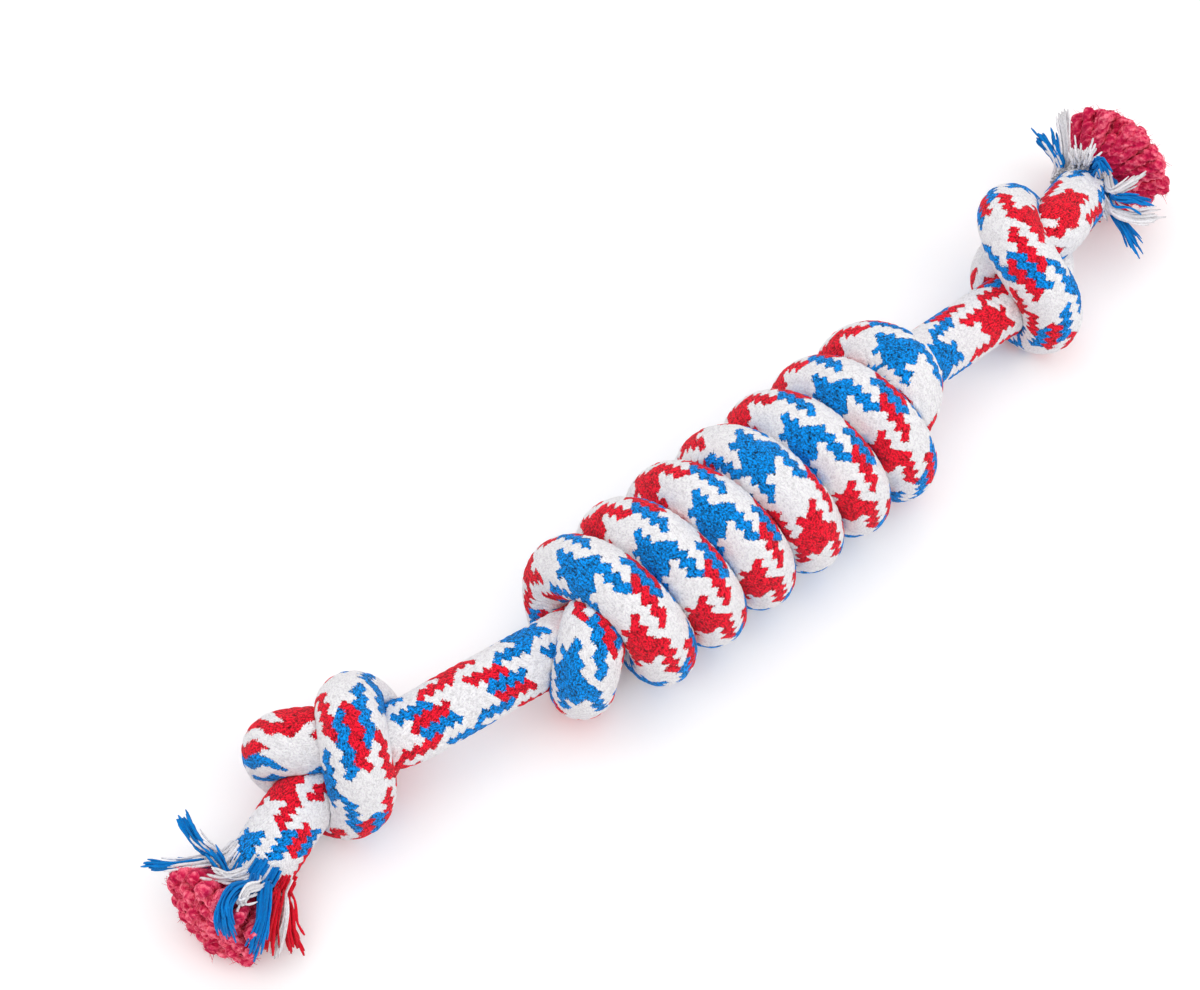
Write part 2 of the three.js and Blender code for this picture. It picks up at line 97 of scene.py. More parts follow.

# Knots as they were laid, outwards; along the barrel from half its length
KNOT_LEFT = [
    (-41.4, 8.2, 17.4), (-46.6, 11.4, 18.6), (-51.4, 14.6, 20), (-55.9, 18.4, 18.2),
    (-56.6, 19.2, 13), (-54.9, 16, 8), (-53.6, 10.9, 6.2), (-52.1, 6, 6.7),
    (-50.4, 2.8, 11), (-49.1, 2.2, 16.8), (-48.1, 4, 21.8), (-46.1, 7.4, 25.1),
    (-43.6, 12, 24.6), (-41.1, 15.4, 20.4), (-38.6, 15, 15), (-39.1, 11.9, 10.5),
    (-43.6, 9.3, 9.6), (-49.1, 9.4, 11.4), (-54.6, 9.5, 12.8), (-60.1, 8.5, 12),
]
KNOT_RIGHT = [
    (46.6, 3.7, 13.6), (53.1, 3.3, 14), (57.9, 6.5, 13.5), (59.4, 12, 15.3),
    (58.1, 16, 20), (54.6, 16, 24.5), (50.6, 12.7, 27), (47.9, 7.5, 26.7),
    (47.1, 2, 24.5), (47.6, -2.8, 20.5), (48.1, -5, 15), (48.8, -3.3, 9.5),
    (49.6, 1.5, 6.2), (49.6, 7, 7.5), (49.6, 11, 11.5), (51.1, 11, 17),
    (54.6, 8.7, 21), (60.1, 8, 22), (65.6, 9.5, 20.5),
]

# Brushes of core yarn: reach from the mouth of the tail, spacing of the yarn ends, how far behind the mouth they fan
# out from, how the middle stands out, rings of yarns, and the share of yarns in the last ring that are short
TUFT_REACH = {"left": (-11.4, -2.1, 2.1), "right": (16.5, 1.5, 2.5)}
TUFT_SPREAD = 2.5
TUFT_HINGE = {"left": 6, "right": 2}
TUFT_CROWN = {"left": 0.02, "right": 0.032}
TUFT_RINGS = {"left": 5, "right": 6}
TUFT_SHORT = {"left": 0.15, "right": 0.3}
SHORT_SHARE = (0.62, 0.9)
RING_YARNS = 6
# How far a yarn strays from its even place
ANGLE_STRAY = 0.05
RADIUS_STRAY = 0.3
LENGTH_STRAY = 0.5

# Frayed cover yarns: colour, threads, angle of the root round the mouth, and where the bundle goes from
# the middle of the mouth. "tipped" bundles are white with longer blue threads inside.
FRINGE = {
    "left": [
        ("tipped", 22, 60, [(-3.1, 6.5, 7.2), (-4.1, 8.7, 9.6), (-3.7, 13.6, 12.1)]),
        ("tipped", 22, 40, [(-4.8, 5.7, 6.7), (-9, 8.5, 6.3), (-13.4, 12.5, 5.2)]),
        ("blue", 8, -12, [(-3.1, -1.2, 8), (-3, 2.4, 9), (-2.6, 6.1, 9.2)]),
        ("white", 10, -8, [(-1.2, -1.6, 8.8), (-4, -1, 10.3), (-5.7, 1.6, 10.6)]),
        ("blue", 34, -22, [(-1.3, -4.7, 9), (-4.7, -4.2, 11.4), (-8.3, -6.5, 12.8), (-9.7, -9.3, 8.2)]),
        ("white", 6, -32, [(-0.7, -6.4, 10.8), (-2.9, -6, 11.9), (-5.1, -6.6, 10.7), (-3.2, -7.1, 10.6)]),
        ("blue", 24, -46, [(0.5, -6.4, 8.9), (-3.5, -10.5, 7), (-8.2, -13, 3.7)]),
        ("red", 20, -70, [(1.5, -7.8, 5.1), (-1.8, -10.1, 2.7), (-4.6, -12.1, -2.3)]),
        ("white", 9, -86, [(2.2, -8.4, 2.8), (-0.4, -10.9, 0.5), (-4.5, -12.9, -4.4)]),
        ("red", 20, -106, [(2.5, -8.8, 0.4), (0.6, -11.5, -1.7), (-0.6, -14.5, -4.8)]),
        ("white", 12, -150, [(-4, -4.5, -5.5), (-8, -6, -7.5)]),
        ("red", 12, 178, [(-5, -0.5, -6), (-10, -1, -7.8)]),
        ("white", 14, 145, [(-5, 5, -5), (-10, 6.5, -6.5)]),
        ("blue", 14, 112, [(-4, 8.5, -2), (-9, 12.5, -2.5)]),
    ],
    "right": [
        ("white", 22, -60, [(-1.4, 6.3, 7.2), (0.6, 9.2, 9.9), (3.1, 13.4, 12.3)]),
        ("tipped", 22, -86, [(-3.2, 6.7, 5.4), (-2.8, 9.9, 7.1), (-2.6, 14.4, 8.7)]),
        ("tipped", 14, -74, [(-3.3, 5.5, 6), (-2.3, 8.3, 7.7), (0.4, 12.6, 9.7)]),
        ("white", 22, -35, [(-2, 3, 8.9), (-1.3, 4.7, 11.1)]),
        ("white", 22, -12, [(-1.2, 1, 10), (0.1, 1.8, 12.1)]),
        ("blue", 16, 6, [(-0.7, -1.3, 9.7), (-0.3, -2, 11.3), (-1.2, -5.3, 10)]),
        ("white", 16, 24, [(-1.5, -7.5, 7.1), (0.5, -9, 8.9), (4.9, -9.4, 9.3)]),
        ("blue", 24, 44, [(-1.4, -8.8, 6.5), (0.9, -11.3, 6.7), (3.8, -13.8, 5)]),
        ("white", 14, 14, [(-2.4, -3.1, 6.6), (-2.9, -6.8, 4.5), (-2.3, -10.2, 1)]),
        ("white", 26, 62, [(-2.4, -9.1, 4.1), (-0.4, -13, 3.1), (6.2, -16.5, 1.8)]),
        ("blue", 14, 96, [(-1.1, -10.5, 1), (-1, -13.7, -1), (-0.8, -17.7, -4)]),
        ("red", 12, 140, [(5, -5.5, -4.5), (9, -7.5, -8)]),
        ("white", 14, 175, [(6, -0.5, -6), (11, -0.5, -10)]),
        ("red", 12, -148, [(3, 7.5, -5), (8, 11.5, -8)]),
        ("blue", 12, -128, [(1.5, 9, -1), (6.5, 15.5, -3)]),
    ],
}

# Colour of the braid: carriers in each of the two sets, carriers in a block of one colour, and the lay of the
# colours: length of rope from the left mouth, how far the braid has turned, and how many repeats have gone by
CARRIERS = 16
BLOCK = 4
BRAID_RUN = [
    (0, 0.775, -0.155), (28, 0.776, 0.912), (49, 0.93, 1.318), (75, 1.037, 2.228), (98, 1.153, 2.69),
    (110, 0.902, 2.942), (122, 0.947, 3.278), (134, 0.987, 3.725), (146, 0.974, 4.092), (158, 0.927, 4.466),
    (170, 0.87, 4.87), (236, 0.45, 7.3), (248, 0.5, 7.95), (260, 0.603, 8.243), (274.5, 0.783, 8.88),
    (319.9, 0.836, 10.54), (355.9, 0.774, 11.895), (398.3, 0.785, 13.673), (434.3, 0.764, 15.008),
    (476.7, 0.719, 16.665), (512.7, 0.631, 17.921), (555.1, 0.767, 19.683), (591.1, 0.747, 21.083),
    (633.5, 0.769, 22.661), (669.5, 0.782, 24.061), (711.9, 0.802, 25.596), (747.9, 0.746, 26.833),
    (787, 0.58, 28.216), (803, 0.863, 28.857), (820, 0.8, 29.4),
    (897, 0.51, 32.352), (909, 0.529, 32.77), (921, 0.529, 33.107), (933, 0.475, 33.424), (957, 0.372, 34.408),
    (969, 0.436, 34.992), (981, 0.529, 35.365), (993, 0.441, 35.885), (1005, 0.521, 36.279),
    (1017, 0.436, 36.43), (1028.5, 0.141, 36.887), (1053.5, 0.079, 37.505),
]

# One yarn of the braid: how narrow it is in its lane, how deep it dives where it passes under, and which height
# lies on the rope's own radius
YARN_NARROW = 1.9
YARN_DIVE = 0.5
RELIEF_MIDDLE = 0.7

# Unevenness of the braid: fineness per metre, how far the yarns stray, in carriers, and the plies of a yarn
STRAY = (800, 0.3)
RAGGED = (3400, 0.3)
SPECKLE = 2200
CLUMPS = 900
PLIES = 3
PLY_LEAN = 0.5
# What makes up the height of the braid's surface; for each, a low and a high value and the brightness at both: painted
# shade where yarns dive and between plies, painted light on ply crowns, random tone of speckle and clumps
BRAID_HEIGHT = {"yarn": 0.7, "plies": 0.5, "speckle": 0.7, "clumps": 0.6}
BRAID_SHADE_AND_TONE = {
    "yarn": (0.05, 0.7, -0.24, 0),
    "plies": (0, 0.9, -0.3, 0.14),
    "speckle": (0.34, 0.66, -0.24, 0.24),
    "clumps": (0.3, 0.7, -0.08, 0.08),
}
# How strongly the painted shade and tone show on white yarn, how much more on the others, and the brightness in the
# middle
DEPTH_WHITE = 0.45
DEPTH_MORE = {"blue": 2.15, "red": 1.6}
BRAID_LEVEL = 1.08
BRAID_BUMP = (0.0004, 0.7)

# Core yarn: fineness per metre, how the brightness follows fluff and clumps, and how the colour pales where it is
# brightest, as a painted highlight
CORE_FLUFF = 1900
CORE_CLUMPS = 520
CORE_HEIGHT = 0.6
FLUFF_LIGHT = (0.3, 0.7, 0.82, 1.2)
CLUMP_LIGHT = (0.3, 0.7, 0.86, 1.16)
CORE_HIGHLIGHT_PALING = (0.95, 1.6, 1.04, 0.84)
CORE_BUMP = (0.0006, 0.7)
# Core yarn along its length: where it starts in the mouth and how it curves to its tip, its waves, its radius at the
# root and then as a share of its thickness, its rounded head, and its painted shade, dark at the root deep in the brush
# and light at the tip, with a random tone for each yarn
ROOT_DEPTH = 2
ROOT_RADIUS = 4.5
ROOT_RUN = 4.5
TIP_RUN = 6
PHASES = (0, 6)
WAVE_TURN = 5
WAVE_STRAY = 0.25
YARN_THICK = (0.46, 0.58)
YARN_PLACES = (0, 0.3, 0.7, 0.9, 1)
YARN_ROOT = (0.6, 0.85)
YARN_SWELL = (0.82, 0.9, 1.06)
HEAD_RISE = np.array([0.2, 0.42, 0.62, 0.76, 0.82])
HEAD_RADII = np.array([0.97, 0.86, 0.68, 0.44, 0.16])
ROOT_SHADE_PLACES = (0, 0.3, 0.6, 1)
ROOT_SHADES = (0.3, 0.58, 1.04, 1.18)
TONE_STRAY = (0.84, 1.16)
YARN_FLOOR = 1.3
# Its surface: plies and their turn from ring to ring, waves, the shares of plies, waves and grain, and how painted
# shade follows them, darker in the grooves and lighter on the lumps
CORE_PLIES = 3
PLY_TURN = 1.15
LUMP_WAVES = 4
LUMP_DRIFT = 0.6
LUMP_TURN = (0.25, 0.9)
LUMP_SHARES = (0.9, 0.7, 0.7)
LUMP_SHADE = 1.3
LUMP_SHADE_LIMITS = (0.45, 1.4)
# Its loose fibres
FIBRES = 34
FIBRE_LEAN = 0.7
FIBRE_FOOT = -0.1
FIBRE_LENGTH = (0.4, 1.0)
FIBRE_CURL = 0.22
FIBRE_RADII = np.array([0.06, 0.055, 0.045, 0.02])
FIBRE_TONE = (0.9, 1.25)
FIBRE_FLOOR = 0.2

# Frayed threads: fineness per metre, how the light follows the fibres, and one thread's thickness, twist and tone
THREAD_FIBRES = 2600
THREAD_LIGHT = (0.3, 0.7, 0.85, 1.05)
THREAD_BUMP = (0.0002, 0.6)
TWIST_HEIGHT = 0.5
THREAD_THICK = (0.8, 1.25)
THREAD_TIP = 0.5
THREAD_TWIST = 0.2
THREAD_TURN = 1.1
THREAD_TONE = (0.82, 1.1)
THREAD_FLOOR = 0.1
TWIST_STEP = 0.5
# Bundles of threads: the root, as how far back from the mouth and from its middle, the width along the bundle, the
# curl, and where threads end: of plain bundles, and of tipped ones inside and outside
BUNDLE_ROOT = ((4.2, 6.5), (1.2, 7))
BUNDLE_PLACES = (0, 0.3, 0.75, 1)
BUNDLE_WIDTHS = (0.6, 0.75, 0.85, 1.35)
BUNDLE_STRAY = 0.62
BUNDLE_CURL = 0.5
CURL_TURN = (2, 6)
PLAIN_ENDS = (0.86, 1)
INSIDE_FROM = 0.5
INSIDE_ENDS = (0.88, 1)
INSIDE_STRAY = 0.7
OUTSIDE_ENDS = (0.66, 0.88)
# Short ends all round the mouth: how many, the share that keeps its colour, and where they start and end
MOUTH_ENDS = 110
MOUTH_COLOURED = 0.55
MOUTH_RADIUS = 6.5
MOUTH_STRAY = 0.4
MOUTH_BACK = (1.5, 3.5)
MOUTH_LEAN = 0.1
MOUTH_OUT = (0.4, 3)
MOUTH_WIDE = (5.6, 8.4)
MOUTH_RUNS = (1.5, 0.6)
MOUTH_STEPS = 8

# Stage, in metres: camera, each lamp's share of the power, size, place and aim, and half the floor's side
EYE = (-0.1659, -0.1552, 0.3901)
AIM = (-0.0079, 0.0304, 0)
LAMPS = {
    "overhead lamp": (1, 1.5, (-0.1, 0.06, 0.95), (0.02, 0.01, 0)),
    "front lamp": (0.35, 0.7, (0.45, -0.75, 0.65), (0, 0, 0.01)),
}
FLOOR_HALF = 4

# Fineness of the rope's skin, where it shows, and how it yields to its neighbours and to the floor
FINE_STEP = 0.25
SIDES = 80
COIL_OUTER_SIDES = 62
COIL_INNER_SIDES = 8
COIL_OUTER_ARC = 250
RING_STEP = 0.5
HIDDEN_STEP = 3
SHOWN_NECK = 24
SHOWN_TURN = (40, 56)
BEND_NEAR = 4
BEND_REACH = 12
BEND_SHARE = 0.9
STRAND_GAP = 0.1
FACING_LEAST = 0.01
FLOOR_SKIN = 0.12
FLOOR_SOFT = 0.06

# Fineness of yarns and threads, and how many threads are laid for each one in the table
YARN_STEPS = 40
YARN_SIDES = 16
THREAD_STEPS = 18
THREAD_SIDES = 6
THREAD_SHARE = 1.5


def unit(vector):
    return vector / np.linalg.norm(vector)


def linear(*rgb):
    """Screen colour, 0 to 255, as the linear colour that the shaders take."""
    share = np.array(rgb) / 255
    return tuple(np.where(share <= 0.04045, share / 12.92, ((share + 0.055) / 1.055) ** 2.4))


def length_property(name, description, default, precision=5):
    return FloatProperty(name=name, description=description, default=default, unit="LENGTH", precision=precision)


def colour_property(name, description, default):
    return FloatVectorProperty(name=name, description=description, default=default, subtype="COLOR", size=3)


class RopeSettings(bpy.types.PropertyGroup):
    """The braided rope."""

    diameter: length_property("Rope diameter", "Across the bare rope", 0.0131, 4)
    relief: length_property("Braid relief", "Height of a yarn over the groove beside it", 0.0003)
    blue: colour_property("Blue yarn", "Blue of the cover", linear(0, 130, 213))
    white: colour_property("White yarn", "White of the cover", linear(243, 241, 244))
    red: colour_property("Red yarn", "Red of the cover", linear(229, 20, 46))


class TuftSettings(bpy.types.PropertyGroup):
    """The frayed ends."""

    core: colour_property("Core yarn", "Crimson of the core yarns", linear(216, 52, 90))
    thread: length_property("Thread", "Across one thread of the fringe", 0.00048)
    fluff: FloatProperty(
        name="Fluff", description="Unevenness of a core yarn, as a share of its radius", default=0.14, subtype="FACTOR"
    )
    seed: IntProperty(name="Seed", description="Which lay of threads is drawn", default=7)


class StageSettings(bpy.types.PropertyGroup):
    """Floor, light and camera."""

    floor: colour_property("Floor", "Colour of the floor", (0.97, 0.97, 0.97))
    glow: FloatProperty(name="Floor glow", description="Light that the floor adds for the camera only", default=0.09)
    lamp: FloatProperty(name="Lamp", description="Power of the large lamp overhead", default=6.2, unit="POWER")
    sky: FloatProperty(name="Sky", description="Strength of the even light from all sides", default=0.65)
    lens: FloatProperty(name="Lens", description="Focal length on a 36 mm sensor", default=65.1, unit="CAMERA")


class RopeToySettings(bpy.types.PropertyGroup):
    """All settings of the toy."""

    rope: PointerProperty(type=RopeSettings)
    tuft: PointerProperty(type=TuftSettings)
    stage: PointerProperty(type=StageSettings)


# Route of the rope, from the mouth of the left tail to the mouth of the right one
def spline(points, samples):
    """Places on the centripetal curve through the points; every samples-th one is a given point."""
    points = np.array(points, float)
    ends = [2 * points[0] - points[1]], [2 * points[-1] - points[-2]]
    all_points = np.vstack([ends[0], points, ends[1]])
    line = []
    for a, b, c, d in zip(all_points, all_points[1:], all_points[2:], all_points[3:]):
        knots = np.cumsum([0, *(np.sqrt(np.linalg.norm(q - p)) for p, q in ((a, b), (b, c), (c, d)))])
        t = np.linspace(knots[1], knots[2], samples, endpoint=False)[:, None]

        def between(p, q, i, j):
            return ((knots[j] - t) * p + (t - knots[i]) * q) / (knots[j] - knots[i])

        first = between(between(a, b, 0, 1), between(b, c, 1, 2), 0, 2)
        second = between(between(b, c, 1, 2), between(c, d, 2, 3), 1, 3)
        line.append(between(first, second, 1, 2))
    return np.vstack([*line, points[-1:]])


def on_coil(x, radius, angle):
    a = np.radians(angle)
    return np.array([x, radius * np.cos(a), COIL_AXIS_Z + radius * np.sin(a)])


def inner_angle(x):
    return np.interp(x, list(WOUND.values()), INNER_ANGLES)


def winding():
    line = []
    for step in range(round(COIL_TURNS * LOOP_STEPS) + 1):
        turned = step / LOOP_STEPS
        line.append(on_coil(WOUND["right"] - COIL_PITCH * turned, COIL_RADIUS, COIL_START - 360 * turned))
    return line


def side_line(name):
    """The rope outside the barrel, outwards: both bends of the neck, the knot, the tail's bend and its mouth."""
    neck, lift, tail = (BENDS[f"{name}_{bend}"] for bend in ("neck_swing", "neck_lift", "tail_swing"))
    end = -1 if name == "left" else 1
    knot = np.array(KNOT_LEFT if end < 0 else KNOT_RIGHT) + (end * COIL_HALF, 0, 0)
    into = unit(lift - neck)
    back = unit(knot[-1] - tail)
    run = BEND_RUNS[0]
    return [neck, lift, lift + into * run, *knot[:-1], tail + back * run, tail, tail - back * TAIL_LENGTH]


class Rope:
    """The whole length of rope: its middle line, a frame along it and the braid's run."""

    def __init__(self, settings):
        self.radius = settings.diameter / MM / 2
        self.relief = settings.relief / MM
        left, right = side_line("left"), side_line("right")
        leave_left, leave_right = unit(left[0] - left[1]), unit(right[0] - right[1])
        inner = [COIL_MIDDLE + share * (COIL_HALF - INNER_ROOM) for share in INNER_SHARES]
        coil = [
            *(left[0] + leave_left * run for run in BEND_RUNS),
            *(on_coil(x, INNER_OFFSET, inner_angle(x)) for x in inner),
            *(on_coil(WOUND["right"] + x, COIL_RADIUS - inset, angle) for x, inset, angle in TURN_OUT),
        ]
        wound_from = len(left) + len(coil)
        coil += winding()
        wound_to = len(left) + len(coil) - 1
        coil += [
            *(on_coil(WOUND["left"] + x, COIL_RADIUS - inset, angle) for x, inset, angle in TUCK),
            *(on_coil(x, INNER_OFFSET, inner_angle(x) + 180) for x in inner),
            *(right[0] + leave_right * run for run in BEND_RUNS[::-1]),
        ]
        samples = 16
        rough = spline([*left[::-1], *coil, *right], samples)
        length = np.concatenate([[0], np.cumsum(np.linalg.norm(np.diff(rough, axis=0), axis=1))])
        at = length[::samples]
        last = len(at) - 1
        self.marks = {
            "left_mouth": at[0], "left_tail": at[1], "left_lift": at[len(left) - 2], "left_neck": at[len(left) - 1],
            "wound_from": at[wound_from], "wound_to": at[wound_to],
            "right_neck": at[last - len(right) + 1], "right_lift": at[last - len(right) + 2],
            "right_tail": at[last - 1], "right_mouth": at[last],
        }
        count = round(length[-1] / FINE_STEP)
        self.along = np.linspace(0, length[-1], count + 1)
        self.points = np.stack([np.interp(self.along, length, rough[:, k]) for k in range(3)], axis=1)
        self.tangents = np.gradient(self.points, self.along, axis=0)
        self.tangents /= np.linalg.norm(self.tangents, axis=1)[:, None]
        self.normals = self.carried_normals()

    def carried_normals(self):
        """Square to the rope: away from the barrel's axis on the winding, and carried on from there."""
        away = self.points - (0, 0, COIL_AXIS_Z)
        away[:, 0] = 0
        first, last = np.searchsorted(self.along, (self.marks["wound_from"], self.marks["wound_to"]))
        normals = np.zeros_like(self.points)

        def square(vector, i):
            return unit(vector - self.tangents[i] * (vector @ self.tangents[i]))

        for i in range(first, last + 1):
            normals[i] = square(away[i], i)
        for i in range(last + 1, len(normals)):
            normals[i] = square(normals[i - 1], i)
        for i in range(first - 1, -1, -1):
            normals[i] = square(normals[i + 1], i)
        return normals

    def at(self, where, values):
        return np.stack([np.interp(where, self.along, column) for column in values.T], axis=1)

    def reach(self, where, middles, directions):
        """How far the soft rope reaches in each direction before the next strand stops it."""
        others, lengths = self.points[::2], self.along[::2]
        reach = np.full(directions.shape[:2], self.radius)
        for i, middle in enumerate(middles):
            apart = others - middle
            distance = np.linalg.norm(apart, axis=1)
            arc = np.abs(lengths - where[i])
            near = (distance < 2 * self.radius + STRAND_GAP) & (arc > BEND_NEAR)
            if not near.any():
                continue
            distance, arc, apart = distance[near], arc[near], apart[near]
            half = np.where(arc > BEND_REACH, (distance - STRAND_GAP) / 2, BEND_SHARE * distance / 2)
            facing = directions[i] @ (apart / distance[:, None]).T
            room = np.where(facing > FACING_LEAST, half / np.maximum(facing, FACING_LEAST), self.radius)
            reach[i] = np.minimum(reach[i], room.min(axis=1))
        return reach

    def skin(self, where, angles):
        """Rings of points on the braid's surface, with the braid's own place of each point."""
        middles = self.at(where, self.points)
        tangents = self.at(where, self.tangents)
        tangents /= np.linalg.norm(tangents, axis=1)[:, None]
        normals = self.at(where, self.normals)
        normals -= tangents * np.sum(normals * tangents, axis=1)[:, None]
        normals /= np.linalg.norm(normals, axis=1)[:, None]
        across = np.cross(tangents, normals)
        directions = normals[:, None] * np.cos(angles)[None, :, None] + across[:, None] * np.sin(angles)[None, :, None]
        lengths, turned, repeats = np.array(BRAID_RUN).T
        around = angles / TURN + np.interp(where, lengths, turned)[:, None]
        along = np.broadcast_to(np.interp(where, lengths, repeats)[:, None], directions.shape[:2])
        height = yarn_height(around, along) - RELIEF_MIDDLE
        radius = self.reach(where, middles, directions) + self.relief * height
        rings = middles[:, None] + directions * radius[:, :, None]
        rings[:, :, 2] = off_floor(rings[:, :, 2])
        return rings, around, along


def off_floor(height):
    """Presses what would lie below the floor flat on it, with a soft edge."""
    return FLOOR_SKIN + (height - FLOOR_SKIN + np.sqrt((height - FLOOR_SKIN) ** 2 + FLOOR_SOFT)) / 2


def yarn_height(around, along):
    """Height of the braid's surface, 0 to 1: each yarn passes over two and under two."""
    i, j = CARRIERS * (around - along), CARRIERS * (around + along)
    cell_i, cell_j = np.floor(i), np.floor(j)
    phase = (cell_i + cell_j) % 4
    rising = phase < 2
    across = np.where(rising, i - cell_i, j - cell_j) - 0.5
    forward = np.where(rising, j - cell_j, i - cell_i) + phase % 2 - 1
    return np.sqrt(np.clip(1 - (YARN_NARROW * across) ** 2, 0, 1)) * (1 - YARN_DIVE * forward**2)


_ropes = {}


def the_rope(settings):
    """The rope for these settings, made once."""
    key = (settings.diameter, settings.relief)
    if key not in _ropes:
        _ropes[key] = Rope(settings)
    return _ropes[key]


# Meshes
def add_piece(name, points, faces, material, uv_name, uv, shade=None):
    mesh = bpy.data.meshes.new(name)
    mesh.from_pydata((points * MM).tolist(), [], faces)
    mesh.shade_smooth()
    mesh.uv_layers.new(name=uv_name).data.foreach_set("uv", np.array(uv, np.float32).ravel())
    if shade is not None:
        mesh.attributes.new("shade", "FLOAT", "POINT").data.foreach_set("value", np.array(shade, np.float32))
    mesh.materials.append(material)
    piece = bpy.data.objects.new(name, mesh)
    bpy.context.scene.collection.objects.link(piece)
    return piece


def ring_faces(rings, sides, first=0):
    """Quads between neighbouring rings of points, closed round."""
    i, k = np.meshgrid(np.arange(rings - 1), np.arange(sides), indexing="ij")
    n = (k + 1) % sides
    corners = np.stack([i * sides + k, i * sides + n, (i + 1) * sides + n, (i + 1) * sides + k], axis=-1)
    return (corners.reshape(-1, 4) + first).tolist()


def rope_piece(name, rope, where, angles, material):
    """One stretch of rope between the first and last place of where."""
    rings, around, along = rope.skin(where, angles)
    count, sides = around.shape
    around = np.concatenate([around, around[:, :1] + 1], axis=1)
    along = np.concatenate([along, along[:, :1]], axis=1)
    place = np.stack([around, along], axis=-1)
    uv = np.stack([place[:-1, :-1], place[:-1, 1:], place[1:, 1:], place[1:, :-1]], axis=2)
    return add_piece(name, rings.reshape(-1, 3), ring_faces(count, sides), material, "Braid", uv.reshape(-1, 2))


def steps(start, stop, step):
    return np.linspace(start, stop, max(2, round((stop - start) / step) + 1))


def even_angles(sides=SIDES):
    return np.arange(sides) / sides * TURN


def coil_angles():
    """Close together where the winding shows, further apart where it faces the barrel's axis."""
    half = np.radians(COIL_OUTER_ARC / 2)
    outer = np.linspace(-half, half, COIL_OUTER_SIDES)
    inner = np.linspace(half, TURN - half, COIL_INNER_SIDES + 2)[1:-1]
    return np.concatenate([outer, inner])


# Materials
class Finish:
    """One procedural material, built from the shader's own cloth node."""

    def __init__(self, name):
        self.material = bpy.data.materials.new(name)
        self.material.use_nodes = True
        self.tree = self.material.node_tree
        self.cloth = self.tree.nodes["Principled BSDF"]

    def set(self, socket, value):
        if isinstance(value, bpy.types.NodeSocket):
            self.tree.links.new(value, socket)
        elif isinstance(value, (int, float)):
            socket.default_value = value
        else:
            socket.default_value = tuple(value) if len(value) == len(socket.default_value) else (*value, 1)

    def node(self, kind, output, values, **facts):
        node = self.tree.nodes.new(kind)
        for key, value in facts.items():
            setattr(node, key, value)
        for key, value in values.items():
            self.set(node.inputs[key], value)
        return node.outputs[output]

    def math(self, operation, *values):
        return self.node("ShaderNodeMath", 0, dict(enumerate(values)), operation=operation)

    def total(self, *values):
        result = values[0]
        for value in values[1:]:
            result = self.math("ADD", result, value)
        return result

    def choose(self, share, low, high):
        rest = self.math("SUBTRACT", 1, share)
        return self.total(self.math("MULTIPLY", share, high), self.math("MULTIPLY", rest, low))

    def mix(self, share, low, high):
        return self.node("ShaderNodeMix", 2, {0: share, 6: low, 7: high}, data_type="RGBA")

    def noise(self, place, scale, detail):
        return self.node("ShaderNodeTexNoise", 0, {"Vector": place, "Scale": scale, "Detail": detail})

    def ramp(self, value, low, high, to_low, to_high):
        values = {0: value, 1: low, 2: high, 3: to_low, 4: to_high}
        return self.node("ShaderNodeMapRange", 0, values, clamp=True)

    def brightness(self, color, value, saturation=1):
        return self.node("ShaderNodeHueSaturation", 0, {"Value": value, "Saturation": saturation, "Color": color})

    def parts(self, vector):
        split = self.tree.nodes.new("ShaderNodeSeparateXYZ")
        self.set(split.inputs[0], vector)
        return split.outputs

    def bump(self, height, depth, strength):
        return self.node("ShaderNodeBump", 0, {"Height": height, "Distance": depth, "Strength": strength})

    def surface(self, **values):
        """Sets the cloth node's inputs, named with underscores for blanks."""
        for name, value in values.items():
            self.set(self.cloth.inputs[name.replace("_", " ")], value)
        return self.material

    def cotton(self, color, normal):
        sheen = {"Sheen_Weight": 0.06, "Sheen_Roughness": 0.5}
        return self.surface(Base_Color=color, Normal=normal, Roughness=0.9, Specular_IOR_Level=0.15, **sheen)


